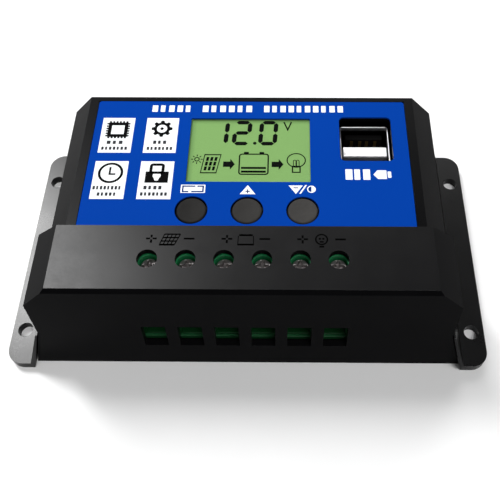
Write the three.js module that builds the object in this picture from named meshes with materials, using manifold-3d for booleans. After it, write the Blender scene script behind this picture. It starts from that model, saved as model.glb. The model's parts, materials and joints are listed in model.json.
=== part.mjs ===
// Solar charge controller: a flanged base tray, a cover with a display deck and a raised terminal
// hood, a screw terminal block with rising clamps, three sprung buttons, an LCD and a USB socket.
// Millimetres, +Z up, origin at the middle of the footprint on the mounting surface.
// -Y is the wire side, +X is to the right of somebody facing the wire side.
import * as THREE from 'three';
import { mergeVertices } from 'three/addons/utils/BufferGeometryUtils.js';
import Module from 'manifold-3d';

const wasm = await Module();
wasm.setup();

// ---- driving dimensions ----
const HALF_WIDTH = 66.75;          // over the mounting ears
const EAR = { front: -37.6, back: 34.6, thick: 2.8, radius: 4.5 };
const EAR_HOLE = { x: 63.2, front: -27.45, back: 23.95, radius: 2.1 };
const FLOOR = { thick: 1.9, front: -33.7, back: 35.4 };
const FLARE = { foot: 59.3, slope: 0.29, thick: 1.3, tip: 0.5, top: 14.9, lead: 0.2 };   // tray's side walls

const WALL = 1.8;                  // plastic wall of the cover
const GAP = 0.3;                   // clearance between fitted pieces
const BODY = { half: 54.7, bottom: 2.2, back: 37.6 };
const DECK = { top: 28, crease: 48.3, shoulder: 21.1 };
const HOOD = { top: 35, crease: 48.1, shoulder: 28.6, front: -30.5, back: -12.4, foot: -11.4 };
const FACE = { foot: -35.8, lean: 0.126, bottom: 0.2, bevel: 1 };   // sloping front face
const BOSS = { x: 47.6, front: -27, back: 31, radius: 3.2, bottom: 3.7, pilot: 1.55, pilotTop: 13 };
const TRAY_BOSS = { radius: 4, top: 3.4, bore: 1.65, sink: 3, sinkDepth: 2 };

const LABEL = { half: 45.6, front: -10.8, back: 35.95, thick: 0.5, recess: 0.6, radius: 0.8 };
const WINDOW = { half: 17.45, front: 6.45, back: 29.4, middle: 17.925 };
const LCD = { half: 21, halfDepth: 14.1, bottom: 24.7, top: 27.25, clearance: 0.4 };
const LIGHT_GUIDE = { half: 19.4, halfDepth: 12.4, bottom: 21.3, top: 24.2 };
const LCD_HOLDER = { half: 21.4, halfDepth: 14.5, shelf: 1.6 };
const LCD_PINS = { count: 12, pitch: 2.9, half: 0.3, thick: 0.6, y: 32.825, comb: 17, low: 23.2, top: 24.4 };

const BUTTON = { pitch: 15.15, y: -3, hole: 4.5, sink: 0.15, round: 0.35 };
const CAP = { radius: 4.1, flange: 4.9, flangeTop: 25.8, flangeLow: 24.6 };
const CAP_STEM = { radius: 2.7, bore: 1.8, boreTop: 24.1, low: 21.5 };
const PLUNGER = { radius: 1.7, low: 11.2, top: 24 };
const SWITCH = { half: 3, height: 3.5, well: 1.9, wellFloor: 10 };

const USB = { left: 26, right: 41.2, front: 13.9, back: 30, radius: 1.5 };
const USB_CAN = { left: 26.4, right: 40.9, front: 13.2, back: 29.65, top: 24.2, wall: 0.5 };
const USB_DIVIDER = { side: 0.35, front: 18.55, back: 22.25, drop: 0.2 };
const USB_TONGUE = { half: 5.5, thick: 1.8, top: 22.4, front: 14.4, rear: 26 };

const POLES = 6;
const PITCH = 9.55;
const POLE_Y = -22.1;
const ACCESS_RADIUS = 2.6;
const SLOT = { half: 3.15, bottom: 9.5, top: 18.8 };
const BLOCK = {
  half: 29.4, front: -31, lip: 20.5, step: -28.6, stepTop: 24, back: -15, bottom: 8.9, top: 32.4,
};
const CAGE_ROOM = { half: 3.7, front: -27.5, back: -18.4, bottom: 9.6, top: 28.1 };
const CAGE = { half: 3.4, front: -26, back: -19.2, bottom: 9.9, top: 21.8, sill: 1.2, roof: 2, jamb: 0.8 };
const SCREW = { head: 2.2, shank: 1.5, seat: 29.4, crown: 31.2, tip: 19.9, slot: 0.7, depth: 1 };
const BAR = { half: 2.2, front: -26.6, back: -16.4, bottom: 18.4, thick: 1, leg: 1.2, tip: 5.6 };

const BOARD = { half: 49.5, front: -31.5, back: 34.2, bottom: 7, thick: 1.6 };
const BOARD_TOP = BOARD.bottom + BOARD.thick;
const SEAT = BOARD_TOP + 0.1;      // where parts on the board start
const POST = { x: 45.5, front: -17, back: 12, radius: 2.5, pilot: 1 };
const BOARD_SCREW = { tip: 2.6, crown: 1.6, head: 2.2, slot: 0.6, depth: 0.8 };
const COVER_SCREW = { tip: 12, crown: 0.2, shank: 1.45, head: 2.8, slot: 0.8, depth: 1 };

const TRANSISTOR = { xs: [-38.5, -26.5, 26.5, 38.5], y: -6.5, halfX: 5, halfY: 4.5, height: 4.4 };
const TRANSISTOR_TAB = { half: 4.2, from: 4, to: 6, height: 1.3 };
const TRANSISTOR_LEG = { offset: 2.54, half: 0.4, from: -7.2, to: -4, height: 0.6 };
const CHIP_LEG = { pitch: 1.27, half: 0.22, out: 1, height: 0.5 };
const CAPACITOR = { xs: [-36.5, -26.8], y: 26, radius: 4, neck: 3.7, top: 21.3 };
const INDUCTOR = { x: -38, y: 5.5, radius: 4.6, waist: 3.7, height: 5.6, flange: 1, taper: 0.4 };

const FAR = 80;                    // past the object on every side
const ROUND = 24;                  // sides of a large circle
const SMALL_ROUND = 12;            // sides of a small circle

// ---- materials ----
function finish(colour, roughness, metalness) {
  return new THREE.MeshStandardMaterial({ color: colour, roughness, metalness });
}

const COVER_BLACK = finish(0x1c1c1e, 0.4, 0);
const TRAY_BLACK = finish(0x202022, 0.38, 0);
const LABEL_BLUE = finish(0x0444b0, 0.4, 0);
const CLEAR = finish(0xdfe8e4, 0.05, 0);
const LCD_GREEN = finish(0x87b06c, 0.25, 0);
const LIGHT_GUIDE_WHITE = finish(0xe8eee6, 0.4, 0);
const FRAME_BLACK = finish(0x151515, 0.6, 0);
const CAP_GREY = finish(0x383838, 0.5, 0);
const TERMINAL_GREEN = finish(0x1f8a4a, 0.4, 0);
const STEEL = finish(0xc9ccd0, 0.3, 1);
const BRASS = finish(0xb9a060, 0.35, 1);
const TIN = finish(0xd6d8da, 0.3, 1);
const BOARD_GREEN = finish(0x1d5a35, 0.45, 0);
const CHIP_BLACK = finish(0x1a1a1c, 0.55, 0);
const SLEEVE_BLACK = finish(0x20242c, 0.35, 0);
const FERRITE = finish(0x3c3d40, 0.7, 0);

// ---- shapes ----
const controller = new THREE.Group();

function part(name, shape, material) {
  const geometry = shape.isBufferGeometry ? shape : toGeometry(shape);
  geometry.computeVertexNormals();
  const mesh = new THREE.Mesh(geometry, material);
  mesh.name = name;
  controller.add(mesh);
  return mesh;
}

function toSolid(geometry) {
  const bare = geometry.clone();
  bare.deleteAttribute('normal');
  bare.deleteAttribute('uv');
  const merged = mergeVertices(bare);
  const vertProperties = new Float32Array(merged.attributes.position.array);
  const triVerts = new Uint32Array(merged.index.array);
  return new wasm.Manifold(new wasm.Mesh({ numProp: 3, vertProperties, triVerts }));
}

function toGeometry(solid) {
  const mesh = solid.getMesh();
  const geometry = new THREE.BufferGeometry();
  geometry.setAttribute('position', new THREE.BufferAttribute(mesh.vertProperties, 3));
  geometry.setIndex(new THREE.BufferAttribute(mesh.triVerts, 1));
  return geometry;
}

function cut(solid, ...tools) {
  return tools.reduce((rest, tool) => rest.subtract(tool), solid);
}

function join(solid, ...others) {
  return others.reduce((whole, other) => whole.add(other), solid);
}

// Block between two corners, given as ranges along X, Y and Z.
function blockGeometry([x0, x1], [y0, y1], [z0, z1]) {
  const box = new THREE.BoxGeometry(x1 - x0, y1 - y0, z1 - z0);
  return box.translate((x0 + x1) / 2, (y0 + y1) / 2, (z0 + z1) / 2);
}

function block(xs, ys, zs) {
  return toSolid(blockGeometry(xs, ys, zs));
}

// Upright round bar on the axis x, y from z0 to z1.
function rod(x, y, z0, z1, radius, sides = SMALL_ROUND) {
  const bar = new THREE.CylinderGeometry(radius, radius, z1 - z0, sides);
  return toSolid(bar.rotateX(Math.PI / 2).translate(x, y, (z0 + z1) / 2));
}

function outline(points) {
  return new THREE.Shape(points.map(([a, b]) => new THREE.Vector2(a, b)));
}

function extruded(shape, depth) {
  return new THREE.ExtrudeGeometry(shape, { depth, bevelEnabled: false, curveSegments: 5 });
}

// Section drawn in X and Z, swept from the front y to the back y.
function sweptAlongY(points, front, back) {
  const bar = extruded(outline(points), back - front);
  return toSolid(bar.rotateX(Math.PI / 2).translate(0, back, 0));
}

// Section drawn in Y and Z, swept from x = left to x = right.
function sweptAlongX(points, left, right) {
  const toYZ = new THREE.Matrix4().makeBasis(
    new THREE.Vector3(0, 1, 0), new THREE.Vector3(0, 0, 1), new THREE.Vector3(1, 0, 0));
  return toSolid(extruded(outline(points), right - left).applyMatrix4(toYZ).translate(left, 0, 0));
}

// Rectangle with round corners, drawn in X and Y.
function roundedRectangle(left, right, front, back, radius, PathClass = THREE.Shape) {
  const path = new PathClass();
  path.moveTo(left + radius, front);
  path.lineTo(right - radius, front);
  path.absarc(right - radius, front + radius, radius, -Math.PI / 2, 0, false);
  path.lineTo(right, back - radius);
  path.absarc(right - radius, back - radius, radius, 0, Math.PI / 2, false);
  path.lineTo(left + radius, back);
  path.absarc(left + radius, back - radius, radius, Math.PI / 2, Math.PI, false);
  path.lineTo(left, front + radius);
  path.absarc(left + radius, front + radius, radius, Math.PI, 1.5 * Math.PI, false);
  return path;
}

function plate(shape, bottom, top) {
  return toSolid(extruded(shape, top - bottom).translate(0, 0, bottom));
}

// Solid of revolution about the upright axis at x, y from pairs of radius and height.
function turned(profile, x, y, sides = SMALL_ROUND) {
  const lathe = new THREE.LatheGeometry(profile.map(([r, z]) => new THREE.Vector2(r, z)), sides);
  return lathe.rotateX(Math.PI / 2).translate(x, y, 0);
}

// A section given for +X only, closed with its mirror image.
function mirrored(points) {
  const opposite = points.map(([x, z]) => [-x, z]).reverse();
  return [...opposite, ...points];
}

// The four places left and right, front and back.
function corners({ x, front, back }) {
  return [[-x, front], [x, front], [-x, back], [x, back]];
}

function poleX(pole) {
  return (pole - (POLES - 1) / 2) * PITCH;
}

const poles = Array.from({ length: POLES }, (_, pole) => pole);

// ---- base tray ----
function flareAt(z) {
  return FLARE.foot - FLARE.slope * z;
}

function faceAt(z) {
  return FACE.foot + FACE.lean * z;
}

function traySection() {
  return mirrored([
    [0, FLOOR.thick],
    [flareAt(FLOOR.thick), FLOOR.thick],
    [flareAt(FLARE.top), FLARE.top],
    [flareAt(FLARE.top) + FLARE.tip, FLARE.top],
    [flareAt(EAR.thick) + FLARE.thick, EAR.thick],
    [HALF_WIDTH, EAR.thick],
    [HALF_WIDTH, 0],
  ].reverse());
}

function basePlate() {
  const rim = roundedRectangle(-HALF_WIDTH, HALF_WIDTH, EAR.front, EAR.back, EAR.radius);
  let tray = sweptAlongY(traySection(), EAR.front, EAR.back).intersect(plate(rim, -1, FLARE.top + 1));
  const mouth = mirrored([[flareAt(-1), -1], [flareAt(FLARE.top + 1), FLARE.top + 1]]);
  const faceSlope = [
    [-FAR, EAR.thick],
    [EAR.front, EAR.thick],
    [faceAt(FLARE.top) - FLARE.lead, FLARE.top + 1],
    [-FAR, FLARE.top + 1],
  ];
  tray = cut(tray, sweptAlongY(mouth, -FAR, FLOOR.front), sweptAlongX(faceSlope, -FAR, FAR));
  tray = tray.add(block([-BODY.half, BODY.half], [EAR.back - 1, FLOOR.back], [0, FLOOR.thick]));
  for (const [x, y] of corners(EAR_HOLE)) {
    tray = tray.subtract(rod(x, y, -1, EAR.thick + 1, EAR_HOLE.radius, ROUND));
  }
  for (const [x, y] of corners(POST)) {
    tray = tray.add(rod(x, y, FLOOR.thick / 2, BOARD.bottom - 0.05, POST.radius));
    tray = tray.subtract(rod(x, y, FLOOR.thick, BOARD.bottom + 1, POST.pilot + 0.1));
  }
  for (const [x, y] of corners(BOSS)) {
    tray = tray.add(rod(x, y, FLOOR.thick / 2, TRAY_BOSS.top, TRAY_BOSS.radius));
    tray = tray.subtract(rod(x, y, -1, TRAY_BOSS.top + 1, TRAY_BOSS.bore));
    tray = tray.subtract(rod(x, y, -1, TRAY_BOSS.sinkDepth, TRAY_BOSS.sink));
  }
  part('base_plate', tray, TRAY_BLACK);
}

// ---- cover ----
// Section of the cover with a given top, pulled in on every side by inset.
function coverSection({ top, crease, shoulder }, bottom, inset) {
  const slack = inset * 0.42;      // keeps the sloped wall as thick as the flat ones
  return mirrored([
    [crease - slack, top - inset],
    [BODY.half - inset, shoulder - slack],
    [BODY.half - inset, bottom],
  ]);
}

function hoodSide(inset, bottom) {
  return [
    [faceAt(bottom) + inset, bottom],
    [faceAt(HOOD.top - FACE.bevel) + inset, HOOD.top - FACE.bevel - inset * 0.4],
    [HOOD.front + inset, HOOD.top - inset],
    [HOOD.back - inset, HOOD.top - inset],
    [HOOD.foot - inset, DECK.top - inset],
    [HOOD.foot - inset, bottom],
  ];
}

// Front or back panel of the cover, which widens between the flared walls of the tray.
function flaredPanel(front, back) {
  const meet = (FLARE.foot - GAP - BODY.half) / FLARE.slope;
  const panel = mirrored([
    [BODY.half, meet + 2],
    [BODY.half, meet],
    [flareAt(FACE.bottom) - GAP, FACE.bottom],
  ]);
  return sweptAlongY(panel, front, back);
}

function coverShell() {
  const hood = sweptAlongY(coverSection(HOOD, BODY.bottom, 0), -FAR, HOOD.foot)
    .intersect(sweptAlongX(hoodSide(0, FACE.bottom), -FAR, FAR));
  const deck = sweptAlongY(coverSection(DECK, BODY.bottom, 0), HOOD.foot - 1, BODY.back);
  const faceSheet = sweptAlongX([
    [faceAt(-1), -1],
    [faceAt(20), 20],
    [faceAt(20) + WALL, 20],
    [faceAt(-1) + WALL, -1],
  ], -FAR, FAR);
  const front = flaredPanel(-FAR, HOOD.front).intersect(faceSheet);
  const back = flaredPanel(BODY.back - WALL, BODY.back);
  const hoodRoom = sweptAlongY(coverSection(HOOD, -5, WALL), -FAR, HOOD.foot - WALL)
    .intersect(sweptAlongX(hoodSide(WALL, -5), -FAR, FAR));
  const deckRoom = sweptAlongY(coverSection(DECK, -5, WALL), HOOD.foot - WALL - 1, BODY.back - WALL);
  const outside = join(hood, deck);
  const skin = join(cut(outside, hoodRoom, deckRoom), front, back);
  const bosses = corners(BOSS).map(([x, y]) => rod(x, y, BOSS.bottom, HOOD.top, BOSS.radius));
  return join(skin, ...bosses.map((boss) => boss.intersect(outside)));
}

function coverOpenings() {
  const top = DECK.top + 1;
  const low = DECK.top - WALL - 2;
  const margin = 0.15;
  const tools = [
    block([-LABEL.half - margin, LABEL.half + margin],
      [LABEL.front - margin, LABEL.back + margin], [DECK.top - LABEL.recess, top]),
    block(...aroundDisplay(LCD.half + LCD.clearance, LCD.halfDepth + LCD.clearance), [low, top]),
    plate(roundedRectangle(USB.left, USB.right, USB.front, USB.back, USB.radius), low, top),
  ];
  for (const side of [-1, 0, 1]) {
    tools.push(rod(side * BUTTON.pitch, BUTTON.y, low, top, BUTTON.hole, ROUND));
  }
  for (const pole of poles) {
    const x = poleX(pole);
    tools.push(rod(x, POLE_Y, HOOD.top - WALL - 1, HOOD.top + 1, ACCESS_RADIUS, ROUND));
    tools.push(block([x - SLOT.half, x + SLOT.half], [-FAR, BLOCK.front - 0.1],
      [SLOT.bottom, SLOT.top]));
  }
  return tools;
}

function topCover() {
  let cover = coverShell();
  for (const [x, y] of corners(BOSS)) {
    cover = cover.subtract(rod(x, y, BOSS.bottom - 1, BOSS.pilotTop, BOSS.pilot));
  }
  part('top_cover', cut(cover, ...coverOpenings()), COVER_BLACK);
}

// ---- fasteners ----
// Screw with a cross recess. Heights run from the tip to the crown, flipped for screws from below.
function crossScrew({ x, y, tip, seat, crown, shank, head, slot, depth }) {
  const profile = [[0, tip], [shank * 0.75, tip], [shank, tip + Math.sign(seat - tip) * 0.4],
    [shank, seat], [head, seat], [head, crown - Math.sign(crown - seat) * 0.3],
    [head - 0.3, crown], [0, crown]];
  const upwards = crown > seat;
  const body = toSolid(turned(upwards ? profile : profile.reverse(), x, y));
  const reach = head * 0.8;
  const floor = upwards ? [crown - depth, crown + 1] : [crown - 1, crown + depth];
  return cut(body,
    block([x - reach, x + reach], [y - slot / 2, y + slot / 2], floor),
    block([x - slot / 2, x + slot / 2], [y - reach, y + reach], floor));
}

function coverScrews() {
  corners(BOSS).forEach(([x, y], index) => {
    const shape = crossScrew({ x, y, seat: TRAY_BOSS.sinkDepth - 0.1, ...COVER_SCREW });
    part(`cover_screw_${index + 1}`, shape, STEEL);
  });
}

function boardScrews() {
  corners(POST).forEach(([x, y], index) => {
    const shape = crossScrew({ x, y, ...BOARD_SCREW, shank: POST.pilot,
      seat: BOARD_TOP + 0.05, crown: BOARD_TOP + BOARD_SCREW.crown });
    part(`board_screw_${index + 1}`, shape, STEEL);
  });
}

// ---- wire terminals ----
function terminalBlock() {
  let body = sweptAlongX([
    [BLOCK.front, BLOCK.bottom],
    [BLOCK.front, BLOCK.lip],
    [BLOCK.step, BLOCK.stepTop],
    [BLOCK.step, BLOCK.top],
    [BLOCK.back, BLOCK.top],
    [BLOCK.back, BLOCK.bottom],
  ], -BLOCK.half, BLOCK.half);
  for (const pole of poles) {
    const x = poleX(pole);
    body = cut(body,
      block([x - SLOT.half, x + SLOT.half], [BLOCK.front - 1, CAGE_ROOM.front + 0.5],
        [CAGE_ROOM.bottom, SLOT.top]),
      block([x - CAGE_ROOM.half, x + CAGE_ROOM.half], [CAGE_ROOM.front, CAGE_ROOM.back],
        [CAGE_ROOM.bottom, CAGE_ROOM.top]),
      block([x - BAR.half - GAP, x + BAR.half + GAP], [CAGE_ROOM.back - 0.5, BAR.back + GAP],
        [BLOCK.bottom - 1, BAR.bottom + BAR.thick + GAP]),
      rod(x, POLE_Y, CAGE_ROOM.top - 0.5, SCREW.seat, SCREW.shank + 0.2),
      rod(x, POLE_Y, SCREW.seat - 0.2, BLOCK.top + 1, SCREW.head + GAP));
  }
  part('terminal_block', body, TERMINAL_GREEN);
}

function terminalScrew(pole) {
  part(`terminal_screw_${pole + 1}`, crossScrew({ x: poleX(pole), y: POLE_Y, ...SCREW }), STEEL);
}

function clampCage(pole) {
  const x = poleX(pole);
  const frame = block([x - CAGE.half, x + CAGE.half], [CAGE.front, CAGE.back],
    [CAGE.bottom, CAGE.top]);
  const inside = CAGE.half - CAGE.jamb;
  const window = block([x - inside, x + inside], [CAGE.front - 1, CAGE.back + 1],
    [CAGE.bottom + CAGE.sill, CAGE.top - CAGE.roof]);
  const thread = rod(x, POLE_Y, CAGE.top - CAGE.roof - 1, CAGE.top + 1, SCREW.shank + 0.15);
  part(`clamp_cage_${pole + 1}`, cut(frame, window, thread), BRASS);
}

function contactBar(pole) {
  const x = poleX(pole);
  const bar = block([x - BAR.half, x + BAR.half], [BAR.front, BAR.back],
    [BAR.bottom, BAR.bottom + BAR.thick]);
  const leg = block([x - BAR.leg, x + BAR.leg], [BAR.back - BAR.thick, BAR.back],
    [BAR.tip, BAR.bottom + BAR.thick / 2]);
  part(`contact_bar_${pole + 1}`, bar.add(leg), TIN);
}

// ---- face ----
function faceLabel() {
  const sheet = roundedRectangle(-LABEL.half, LABEL.half, LABEL.front, LABEL.back, LABEL.radius);
  const { Path } = THREE;
  sheet.holes.push(roundedRectangle(-WINDOW.half, WINDOW.half, WINDOW.front, WINDOW.back, 0.3, Path));
  sheet.holes.push(roundedRectangle(USB.left, USB.right, USB.front, USB.back, USB.radius, Path));
  for (const side of [-1, 0, 1]) {
    const ring = new Path();
    for (let turn = 0; turn < 4; turn += 1) {
      const start = -turn * Math.PI / 2;
      ring.absarc(side * BUTTON.pitch, BUTTON.y, BUTTON.hole, start, start - Math.PI / 2, true);
    }
    sheet.holes.push(ring);
  }
  const bottom = DECK.top - LABEL.thick - 0.05;
  part('face_label', extruded(sheet, LABEL.thick).translate(0, 0, bottom), LABEL_BLUE);
}

// Ranges along X and Y for something centred on the display.
function aroundDisplay(halfX, halfY) {
  return [[-halfX, halfX], [WINDOW.middle - halfY, WINDOW.middle + halfY]];
}

function display() {
  const edge = 0.15;
  part('lcd_window', blockGeometry([-WINDOW.half + edge, WINDOW.half - edge],
    [WINDOW.front + edge, WINDOW.back - edge], [LCD.top + 0.25, DECK.top - 0.05]), CLEAR);
  part('lcd_glass', blockGeometry(...aroundDisplay(LCD.half, LCD.halfDepth),
    [LCD.bottom, LCD.top]), LCD_GREEN);
  const { bottom, top, half, halfDepth } = LIGHT_GUIDE;
  part('lcd_light_guide', blockGeometry(...aroundDisplay(half, halfDepth), [bottom, top]),
    LIGHT_GUIDE_WHITE);
  const room = aroundDisplay(half + GAP, halfDepth + GAP);
  const holder = cut(
    block(...aroundDisplay(LCD_HOLDER.half, LCD_HOLDER.halfDepth), [SEAT, LCD.bottom - 0.1]),
    block(...room, [bottom - 0.1, LCD.top]),
    block(...room, [0, bottom - 0.1 - LCD_HOLDER.shelf]));
  part('lcd_holder', holder, FRAME_BLACK);
}

function displayPins() {
  const { count, pitch, half, thick, y, comb, low, top } = LCD_PINS;
  let row = block([-comb, comb], [y, y + thick], [low, top]);
  for (let pin = 0; pin < count; pin += 1) {
    const x = (pin - (count - 1) / 2) * pitch;
    row = row.add(block([x - half, x + half], [y, y + thick], [SEAT, low + half]));
  }
  part('lcd_pin_row', row, TIN);
}

function pushButton(name, side) {
  const x = side * BUTTON.pitch;
  const top = DECK.top - BUTTON.sink;
  const cap = turned([[0, CAP_STEM.boreTop], [CAP_STEM.bore, CAP_STEM.boreTop],
    [CAP_STEM.bore, CAP_STEM.low], [CAP_STEM.radius, CAP_STEM.low], [CAP_STEM.radius, CAP.flangeLow],
    [CAP.flange, CAP.flangeLow], [CAP.flange, CAP.flangeTop], [CAP.radius, CAP.flangeTop],
    [CAP.radius, top - BUTTON.round], [CAP.radius - BUTTON.round, top], [0, top]], x, BUTTON.y, ROUND);
  part(`button_cap_${name}`, cap, CAP_GREY);
  const { radius, low } = PLUNGER;
  const plunger = turned([[0, low], [radius, low], [radius, PLUNGER.top], [0, PLUNGER.top]], x, BUTTON.y);
  part(`button_plunger_${name}`, plunger, FRAME_BLACK);
  const switchTop = SEAT + SWITCH.height;
  const well = rod(x, BUTTON.y, SWITCH.wellFloor, switchTop + 1, SWITCH.well);
  const housing = block([x - SWITCH.half, x + SWITCH.half],
    [BUTTON.y - SWITCH.half, BUTTON.y + SWITCH.half], [SEAT, switchTop]);
  part(`button_switch_${name}`, housing.subtract(well), CHIP_BLACK);
}

// ---- USB socket ----
function usbSocket() {
  const { left, right, front, back, top, wall } = USB_CAN;
  const floor = SEAT + wall;
  const can = cut(block([left, right], [front, back], [SEAT, top]),
    block([left + wall, right - wall], [front + wall, back - wall], [floor, top + 1]));
  part('usb_shell', can, STEEL);
  const side = wall + USB_DIVIDER.side;
  part('usb_divider', blockGeometry([left + side, right - side],
    [USB_DIVIDER.front, USB_DIVIDER.back], [floor + 0.1, top - USB_DIVIDER.drop]), STEEL);
  const middle = (left + right) / 2;
  for (const name of ['front', 'rear']) {
    const y = USB_TONGUE[name];
    part(`usb_tongue_${name}`, blockGeometry([middle - USB_TONGUE.half, middle + USB_TONGUE.half],
      [y, y + USB_TONGUE.thick], [floor + 0.1, USB_TONGUE.top]), FRAME_BLACK);
  }
}

// ---- circuit board ----
function mainBoard() {
  let board = block([-BOARD.half, BOARD.half], [BOARD.front, BOARD.back], [BOARD.bottom, BOARD_TOP]);
  const notch = BOSS.radius + 0.5;
  for (const [x, y] of corners(BOSS)) {
    const xs = [x - Math.sign(x) * notch, 2 * x].sort((a, b) => a - b);
    const ys = [y - Math.sign(y) * notch, 2 * y].sort((a, b) => a - b);
    board = board.subtract(block(xs, ys, [0, 12]));
  }
  for (const [x, y] of corners(POST)) {
    board = board.subtract(rod(x, y, 0, 12, POST.pilot + 0.2));
  }
  for (const pole of poles) {
    const x = poleX(pole);
    board = board.subtract(block([x - BAR.leg - GAP, x + BAR.leg + GAP],
      [BAR.back - BAR.thick - GAP, BAR.back + GAP], [0, 12]));
  }
  part('main_board', board, BOARD_GREEN);
}

// Flat power transistor: body, heat tab behind it and legs in front, joined into one piece.
function powerTransistor(index, x) {
  const { y, halfX, halfY, height } = TRANSISTOR;
  let shape = block([x - halfX, x + halfX], [y - halfY, y + halfY], [SEAT, SEAT + height]);
  shape = shape.add(block([x - TRANSISTOR_TAB.half, x + TRANSISTOR_TAB.half],
    [y + TRANSISTOR_TAB.from, y + TRANSISTOR_TAB.to], [SEAT, SEAT + TRANSISTOR_TAB.height]));
  for (const side of [-1, 1]) {
    const leg = x + side * TRANSISTOR_LEG.offset;
    shape = shape.add(block([leg - TRANSISTOR_LEG.half, leg + TRANSISTOR_LEG.half],
      [y + TRANSISTOR_LEG.from, y + TRANSISTOR_LEG.to], [SEAT, SEAT + TRANSISTOR_LEG.height]));
  }
  part(`power_transistor_${index}`, shape, CHIP_BLACK);
}

function smallChip(name, { x, y, length, width, height, legs }) {
  const lift = 0.1;
  let shape = block([x - length / 2, x + length / 2], [y - width / 2, y + width / 2],
    [SEAT + lift, SEAT + height]);
  const reach = width / 2 + CHIP_LEG.out;
  for (let leg = 0; leg < legs; leg += 1) {
    const legX = x + (leg - (legs - 1) / 2) * CHIP_LEG.pitch;
    shape = shape.add(block([legX - CHIP_LEG.half, legX + CHIP_LEG.half], [y - reach, y + reach],
      [SEAT, SEAT + CHIP_LEG.height]));
  }
  part(name, shape, CHIP_BLACK);
}

function capacitor(index, x) {
  const { y, radius, neck, top } = CAPACITOR;
  const groove = SEAT + 0.9;
  const edge = radius - neck;
  const can = turned([[0, SEAT], [radius, SEAT], [radius, groove], [neck, groove + edge],
    [radius, groove + 2 * edge], [radius, top - edge], [neck, top], [0, top]], x, y, ROUND);
  part(`capacitor_${index}`, can, SLEEVE_BLACK);
}

function powerInductor() {
  const { x, y, radius, waist, height, flange, taper } = INDUCTOR;
  const top = SEAT + height;
  const drum = turned([[0, SEAT], [radius, SEAT], [radius, SEAT + flange],
    [waist, SEAT + flange + taper], [waist, top - flange - taper], [radius, top - flange],
    [radius, top], [0, top]], x, y, ROUND);
  part('power_inductor', drum, FERRITE);
}

function boardComponents() {
  TRANSISTOR.xs.forEach((x, index) => powerTransistor(index + 1, x));
  smallChip('controller_chip', { x: 0, y: 18, length: 12.8, width: 7.5, height: 2.3, legs: 10 });
  smallChip('regulator_chip', { x: -27.5, y: 11, length: 5, width: 4, height: 1.6, legs: 4 });
  smallChip('schottky_diode', { x: -38, y: 15.5, length: 4.4, width: 2.6, height: 2.2, legs: 1 });
  CAPACITOR.xs.forEach((x, index) => capacitor(index + 1, x));
  powerInductor();
}

basePlate();
topCover();
coverScrews();
boardScrews();
terminalBlock();
for (const pole of poles) {
  terminalScrew(pole);
  clampCage(pole);
  contactBar(pole);
}
faceLabel();
display();
displayPins();
pushButton('menu', -1);
pushButton('up', 0);
pushButton('down', 1);
usbSocket();
mainBoard();
boardComponents();

export default controller;
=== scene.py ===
"""Looks of a solar charge controller: black moulded case, blue label, green display, terminals."""
import json
import math

import bmesh
import bpy
import numpy as np
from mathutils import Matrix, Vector


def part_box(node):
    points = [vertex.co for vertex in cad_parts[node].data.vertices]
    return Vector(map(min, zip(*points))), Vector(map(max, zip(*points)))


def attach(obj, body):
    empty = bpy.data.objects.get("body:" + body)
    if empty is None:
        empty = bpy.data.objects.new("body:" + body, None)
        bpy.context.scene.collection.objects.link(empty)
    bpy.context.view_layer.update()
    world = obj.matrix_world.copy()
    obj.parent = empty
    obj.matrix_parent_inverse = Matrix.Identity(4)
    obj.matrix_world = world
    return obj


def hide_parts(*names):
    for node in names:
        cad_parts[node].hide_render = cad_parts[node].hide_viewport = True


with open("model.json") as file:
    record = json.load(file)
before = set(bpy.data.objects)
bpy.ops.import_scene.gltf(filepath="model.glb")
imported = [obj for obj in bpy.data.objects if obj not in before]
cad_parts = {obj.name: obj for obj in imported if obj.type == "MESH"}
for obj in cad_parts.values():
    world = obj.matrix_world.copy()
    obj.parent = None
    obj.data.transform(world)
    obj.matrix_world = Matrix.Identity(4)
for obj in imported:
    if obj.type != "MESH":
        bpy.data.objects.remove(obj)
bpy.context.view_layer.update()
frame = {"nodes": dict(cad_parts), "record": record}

MM = 0.001
HOUSING = "housing"
POLES = range(1, 7)
BUTTONS = ("menu", "up", "down")
# foot and head of the wire slots, in millimetres
WIRE_SLOT = (9.5, 18.8)
# part of a surface's direction, upwards or sideways, over which its finish changes
LEVEL = (0.75, 0.90)
UPRIGHT = (0.90, 0.97)
RUBBED_LOW = (0.84, 0.89)
RUBBED_HIGH = (0.96, 0.99)
# sheen of upright walls and of rubbed edges, and the share of the polish that the lower deck has
WALL_SHEEN = 0.16
EDGE_SHEEN = 0.8
DECK_SHARE = 0.18
# faces that differ less than this are one face, and edges sharper than this are rounded, in degrees
MERGE_ANGLE = 0.6
ROUND_ANGLE = 28
# advance and depth of a screw's thread, in millimetres
THREAD_PITCH = 0.6
THREAD_DEPTH = 0.16
scene = bpy.context.scene


# ---------------------------------------------------------------- camera, stage and light
def camera():
    """Looks down on the label from the wire side, a little to the right of the middle."""
    data = bpy.data.cameras.new("camera")
    data.sensor_width = 36.0
    data.lens = 49.71
    data.shift_x = -0.0637
    data.shift_y = -0.0360
    data.clip_start = 0.01
    eye = bpy.data.objects.new("camera", data)
    eye.location = (0.0110, -0.10567, 0.18439)
    eye.rotation_euler = (0.54945, 0.00407, 0.00849)
    scene.collection.objects.link(eye)
    scene.camera = eye


def floor():
    """Pale sheet, flat under the part, far larger than the view."""
    reach, below = 3.0, -0.00004
    corners = [(-reach, -reach, below), (reach, -reach, below), (reach, reach, below), (-reach, reach, below)]
    mesh = bpy.data.meshes.new("floor")
    mesh.from_pydata(corners, [], [(0, 1, 2, 3)])
    sheet = bpy.data.objects.new("floor", mesh)
    scene.collection.objects.link(sheet)
    mesh.materials.append(floor_paint())


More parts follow.
